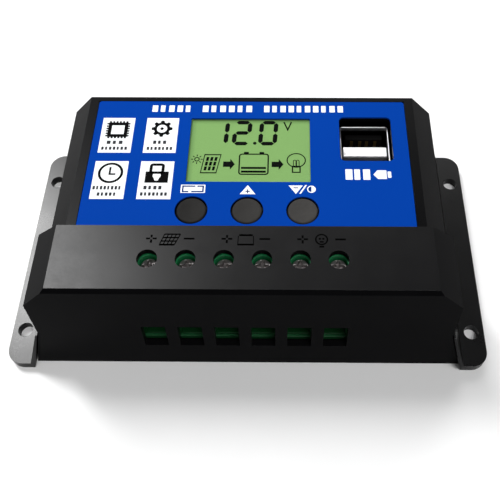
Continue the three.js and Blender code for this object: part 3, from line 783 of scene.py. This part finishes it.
def display_print(top):
    """Dark segments of the display: a voltage, and the way from panel to battery to lamp."""
    sheet = Print(top, 0.03)
    for character, x in (("1", -8.95), ("2", -2.35), ("0", 5.3)):
        digit(sheet, character, (x, 24.45))
    sheet.disc((1.45, 20.65), 0.52)
    sheet.stroke([(9.85, 28.65), (10.97, 25.7), (12.05, 28.65)], 0.42)
    sun = (-14.9, 14.75)
    sheet.ring(sun, 0.78, 0.28, 32)
    for angle in range(0, 360, 45):
        spoke = np.array([math.cos(math.radians(angle)), math.sin(math.radians(angle))])
        sheet.stroke([sun + spoke * 1.05, sun + spoke * 1.65], 0.26)
    corners = np.array([(-12.85, 16.6), (-7.95, 16.6), (-9.1, 9.8), (-13.75, 9.8)])
    centre = corners.mean(0)
    sheet.band(corners, centre + (corners - centre) * 0.89)
    panel_cells(sheet, corners)
    arrow(sheet, -7.35, 13.03)
    sheet.frame(-2.95, 5.65, 9.33, 16.86, 0.4, 0.5)
    sheet.bar(-1.55, -0.15, 16.8, 17.45, 0.15)
    sheet.bar(2.9, 4.25, 16.8, 17.45, 0.15)
    sheet.bar(-2.2, 4.85, 11.4, 12.1)
    sheet.bar(-2.2, 4.85, 10.1, 10.8)
    arrow(sheet, 6.45, 13.03)
    lamp(sheet, (13.44, 14.5))
    return sheet


def lamp(sheet, centre):
    """Lamp: an oval bulb, a looped filament and a square cap."""
    x, y = centre
    sheet.ring(centre, 2.75, 0.32, 48, 0.94)
    sheet.frame(x - 1.25, x + 1.25, y - 4.4, y - 1.95, 0.36)
    for side in (-0.45, 0.45):
        loop = arc((x + side, y - 0.3), 0.36, 180, 0, 9)
        sheet.stroke(np.vstack([(x + side - 0.36, y - 1.95), loop, (x + side + 0.36, y - 1.95)]), 0.22)


def hood_marks(top):
    """Engraved lines beside the screwdriver holes, drawn as thin sheets of painted shade for the grooves:
    plus, sign, minus for panel, battery and lamp.
    """
    sheet = Print(top, 0.012)
    line, y = 0.5, -16.3
    for group in (0, 1, 2):
        plus, minus = (middle(f"terminal_screw_{2 * group + k}")[0] + 0.55 for k in (1, 2))
        sheet.bar(plus - 1.35, plus - 0.3, y - line / 2, y + line / 2)
        sheet.bar(plus + 0.3, plus + 1.35, y - line / 2, y + line / 2)
        sheet.bar(plus - line / 2, plus + line / 2, y - 1.25, y - 0.3)
        sheet.bar(plus - line / 2, plus + line / 2, y + 0.3, y + 1.1)
        sheet.bar(minus - 1.35, minus + 1.35, y - line / 2, y + line / 2)
        sign = (plus + minus) / 2
        (panel_mark, battery_mark, lamp_mark)[group](sheet, sign, y - 0.2, line)
    return sheet


def panel_mark(sheet, x, y, line):
    """Leaning panel of thin lines."""
    corners = np.array([(x - 1.5, y + 1.5), (x + 2.5, y + 1.5), (x + 1.2, y - 1.6), (x - 2.6, y - 1.6)])
    for share in (0.0, 0.33, 0.66, 1.0):
        left = corners[0] + (corners[3] - corners[0]) * share
        right = corners[1] + (corners[2] - corners[1]) * share
        sheet.stroke([left, right], line if share == 1.0 else line * 0.75)
    for share in (0.0, 0.25, 0.5, 0.75, 1.0):
        upper = corners[0] + (corners[1] - corners[0]) * share
        lower = corners[3] + (corners[2] - corners[3]) * share
        sheet.stroke([upper, lower], line * 0.5)


def battery_mark(sheet, x, y, line):
    """Box of thin lines with two short poles."""
    sheet.bar(x - 1.7, x + 1.7, y + 1.05, y + 1.05 + line)
    sheet.bar(x - 2.0, x + 2.0, y - 1.7, y - 1.7 + line)
    for side in (-1, 1):
        sheet.stroke([(x + side * 2.0, y - 1.6), (x + side * 1.9, y + 1.1)], line * 0.4)
        sheet.bar(x + side - 0.3, x + side + 0.3, y + 1.3, y + 1.3 + line * 0.6)


def lamp_mark(sheet, x, y, line):
    """Round lamp of thin lines with a small filament and a cap."""
    sheet.ring((x, y + 0.15), 1.65, line * 0.75, 40)
    sheet.bar(x - 0.6, x + 0.6, y - 2.2, y - 2.2 + line)
    for side in (-0.45, 0.45):
        sheet.disc((x + side, y + 0.35), line * 0.6, 12)
    sheet.bar(x - 0.5, x + 0.5, y - 0.75, y - 0.75 + line * 0.8)


def artwork(looks):
    """All the ink on the label and the display, and the painted groove shade of the engraved marks on the
    hood.
    """
    label_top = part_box("face_label")[1].z / MM
    white_print(label_top).piece("label_white", looks["white_ink"], "label_film")
    black_print(label_top + 0.02).piece("card_pictograms", looks["black_ink"], "label_film")
    caption_print(label_top + 0.02).piece("card_captions", looks["grey_ink"], "label_film")
    blue_print(label_top + 0.02).piece("button_marks", looks["blue_ink"], "label_film")
    cell_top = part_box("lcd_glass")[1].z / MM
    display_print(cell_top).piece("display_segments", looks["lcd_ink"], "lcd_glass")
    hood_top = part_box("top_cover")[1].z / MM
    # painted shade: the hood's engraved marks are thin near-black sheets standing in for the shade in their
    # grooves
    hood_marks(hood_top).piece("hood_marks", looks["engraving"], "cover_plastic")


# ---------------------------------------------------------------- buttons and screws
def button_cap(name, looks):
    """Round cap: a shallow dished top, a rounded rim, straight sides and a flange below the deck."""
    node = "button_cap_" + name
    lo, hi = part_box(node)
    top, low = hi.z / MM, lo.z / MM
    rim, flange, stem = 4.1, 4.9, 2.7
    flange_top, flange_low = top - 2.05, top - 3.2
    dish = np.linspace(0, rim - 0.55, 14)
    bowl = np.column_stack([dish, top - 0.16 * np.cos(dish / (rim - 0.55) * np.pi / 2) ** 2])
    edge = arc((rim - 0.5, top - 0.5), 0.5, 90, 0, 10)
    skirt = [(rim, flange_top), (flange, flange_top), (flange, flange_low),
             (stem, flange_low), (stem, low), (0, low)]
    profile = np.vstack([bowl, edge, skirt])
    points, faces = turned(profile, middle(node))
    place(node + "_finished", finish_mesh(node, points, faces), looks["button_plastic"], "button_plastic",
          body_of(node), (node,))


def cross_recess(x, y, width, reach, depth, slope=0.22):
    """Depth of a cross-shaped recess at each point: the deeper of two slots with sloping walls."""
    def slot(across, along):
        wall = np.clip((width / 2 + slope - np.abs(across)) / slope, 0, 1)
        end = np.clip((reach - np.abs(along)) / (slope * 2), 0, 1)
        return wall * end
    return depth * np.maximum(slot(x, y), slot(y, x))


def cross_screw(node, looks, head, shank, seat, upwards=True, steps=96):
    """Cross-head screw: a low domed head with a cross recess cut as a height field, on a threaded shank.

    The head is a grid of radius and angle whose height is a flat dome less the recess; below the
    seat the radius runs up and down once for each turn of thread.
    """
    lo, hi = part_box(node)
    sign = 1 if upwards else -1
    crown, tip = (hi.z, lo.z) if upwards else (lo.z, hi.z)
    crown, tip = crown / MM, tip / MM
    edge = 0.25
    flat = head - edge
    radius = np.concatenate([np.linspace(0, flat, 34), flat + edge * np.sin(np.linspace(0.2, np.pi / 2, 6))])
    over = (radius - flat) / edge
    drop = np.where(over > 0, edge * (1 - np.sqrt(np.clip(1 - over ** 2, 0, 1))), 0)
    angle = np.linspace(0, 2 * np.pi, steps, endpoint=False)
    x, y = radius[:, None] * np.cos(angle), radius[:, None] * np.sin(angle)
    sunk = cross_recess(x, y, width=0.62, reach=head * 0.8, depth=0.95)
    z = crown - sign * (drop[:, None] + 0.05 * (x ** 2 + y ** 2) / head ** 2 + sunk)
    turns = max(4, round(abs(seat - tip) / THREAD_PITCH))
    heights = np.linspace(seat, tip + sign * 0.4, turns * 6)
    thread = shank - THREAD_DEPTH * (0.5 - 0.5 * np.cos(np.linspace(0, turns * 2 * np.pi, len(heights))))
    below = np.column_stack([np.concatenate([[head], thread, [shank * 0.7, 0]]),
                             np.concatenate([[seat], heights, [tip, tip]])])
    bx = below[:, :1] * np.cos(angle)
    by = below[:, :1] * np.sin(angle)
    bz = np.broadcast_to(below[:, 1:], bx.shape)
    cx, cy = middle(node)
    points = np.stack([np.vstack([x, bx]) + cx, np.vstack([y, by]) + cy, np.vstack([z, bz])], -1)
    rows = len(points)
    mesh = finish_mesh(node, points.reshape(-1, 3), quads(rows, steps), 50)
    place(node + "_finished", mesh, looks["screw_steel"], "steel", body_of(node), (node,))


def screws(looks):
    """Terminal, board and cover screws."""
    for pole in POLES:
        cross_screw(f"terminal_screw_{pole}", looks, head=2.2, shank=1.5, seat=29.4)
    for index in range(1, 5):
        cross_screw(f"board_screw_{index}", looks, head=2.2, shank=1.0, seat=8.65)
        cross_screw(f"cover_screw_{index}", looks, head=2.8, shank=1.45, seat=1.9, upwards=False)


# ---------------------------------------------------------------- USB socket
def carried(profile, outline):
    """Points and faces of a profile of offset and height carried round a closed outline in plan.

    Each outline point moves outwards along its own normal by the profile's offset.
    """
    outline = np.asarray(outline, float)
    step = np.roll(outline, -1, 0) - np.roll(outline, 1, 0)
    normal = np.stack([step[:, 1], -step[:, 0]], -1)
    normal /= np.linalg.norm(normal, axis=1)[:, None]
    offset, height = np.asarray(profile, float).T
    plan = outline[None] + normal[None] * offset[:, None, None]
    z = np.broadcast_to(height[:, None, None], (*plan.shape[:2], 1))
    return np.concatenate([plan, z], -1).reshape(-1, 3), quads(len(profile), len(outline), close_rows=True)


def usb_can(looks):
    """Folded metal can: a thin rounded wall with a rolled rim, closed by a floor."""
    lo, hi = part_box("usb_shell")
    x0, x1, y0, y1 = lo.x / MM, hi.x / MM, lo.y / MM, hi.y / MM
    low, top, wall = lo.z / MM, hi.z / MM, 0.42
    inside = rounded(x0 + wall, x1 - wall, y0 + wall, y1 - wall, 0.6, 7)
    rim = arc((wall / 2, top - wall / 2), wall / 2, 180, 0, 9)
    profile = np.vstack([[(0, low + wall), (0, top - 1.2)], rim, [(wall, top - 1.2), (wall, low), (0, low)]])
    points, faces = carried(profile, inside)
    count = len(inside)
    floor_ring = [list(range(count)), list(range((len(profile) - 1) * count, len(profile) * count))[::-1]]
    mesh = finish_mesh("usb_can", points, faces.tolist() + floor_ring)
    place("usb_can", mesh, looks["usb_metal"], "steel", HOUSING, ("usb_shell",))


def usb_divider(looks):
    """Metal strap between the two mouths: a flat crest that rolls over into two straight legs."""
    lo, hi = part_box("usb_divider")
    x0, x1, y0, y1 = lo.x / MM, hi.x / MM, lo.y / MM, hi.y / MM
    low, top, roll = lo.z / MM, hi.z / MM, 0.7
    section = np.vstack([[(y0, low)], arc((y0 + roll, top - roll), roll, 180, 90, 8),
                         arc((y1 - roll, top - roll), roll, 90, 0, 8), [(y1, low)]])
    across = np.array([x0, x0 + 0.12, x1 - 0.12, x1])
    pull = np.array([0.12, 0, 0, 0.12])
    centre = np.array([(y0 + y1) / 2, low])
    plan = centre + (section - centre)[None] * (1 - pull[:, None, None] / (y1 - y0) * 2)
    x = np.broadcast_to(across[:, None, None], (*plan.shape[:2], 1))
    points = np.concatenate([x, plan], -1).reshape(-1, 3)
    count = len(section)
    ends = [list(range(count))[::-1], list(range(3 * count, 4 * count))]
    mesh = finish_mesh("usb_strap", points, quads(4, count).tolist() + ends)
    place("usb_strap", mesh, looks["usb_strap"], "steel", HOUSING, ("usb_divider",))


def usb_contacts(looks):
    """Four gold strips on each tongue, each a thin bent blade."""
    for name in ("front", "rear"):
        lo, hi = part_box("usb_tongue_" + name)
        middle_x, face, top = (lo.x + hi.x) / 2 / MM, lo.y / MM, hi.z / MM
        height = np.array([top - 0.6, top - 1.6, top - 4.0, top - 8.0])
        bow = np.array([0.02, 0.32, 0.12, 0.02])
        for index, x in enumerate((-3.5, -1.0, 1.0, 3.5)):
            left, right = middle_x + x - 0.45, middle_x + x + 0.45
            front = np.array([[(left, face - b - 0.1, z), (right, face - b - 0.1, z),
                               (right, face - b + 0.05, z), (left, face - b + 0.05, z)]
                              for b, z in zip(bow, height)]).reshape(-1, 3)
            faces = quads(4, 4).tolist() + [[3, 2, 1, 0], [12, 13, 14, 15]]
            mesh = finish_mesh("usb_contact", front, faces)
            place(f"usb_contact_{name}_{index + 1}", mesh, looks["gold"], "tinned_metal")


# ---------------------------------------------------------------- the whole
ROUNDED_EDGES = {
    "top_cover": 0.32, "base_plate": 0.4, "face_label": 0.06, "lcd_window": 0.08, "terminal_block": 0.25,
    "main_board": 0.08, "lcd_pin_row": 0.08,
}
REBUILT = ("button_cap_", "terminal_screw_", "board_screw_", "cover_screw_", "usb_shell", "usb_divider")


def between_poles():
    """Upright cuts midway between neighbouring poles, and level ones at the two ends of their wire slots."""
    centres = [middle(f"terminal_screw_{pole}")[0] * MM for pole in POLES]
    cuts = [((left + (right - left) / 2, 0, 0), (1, 0, 0)) for left, right in zip(centres, centres[1:])]
    return cuts + [((0, 0, height * MM), (0, 0, 1)) for height in WIRE_SLOT]


def carried_over(looks):
    """Every other node: its own shape with whole faces, rounded edges and its finish."""
    for node in frame["nodes"]:
        if not node.startswith(REBUILT):
            cuts = between_poles() if node == "top_cover" else ()
            softened(node, looks, ROUNDED_EDGES.get(node, 0.15), cuts=cuts)


camera()
studio()
floor()
looks = finishes()
carried_over(looks)
for name in BUTTONS:
    button_cap(name, looks)
screws(looks)
usb_can(looks)
usb_divider(looks)
usb_contacts(looks)
artwork(looks)

bpy.context.view_layer.update()
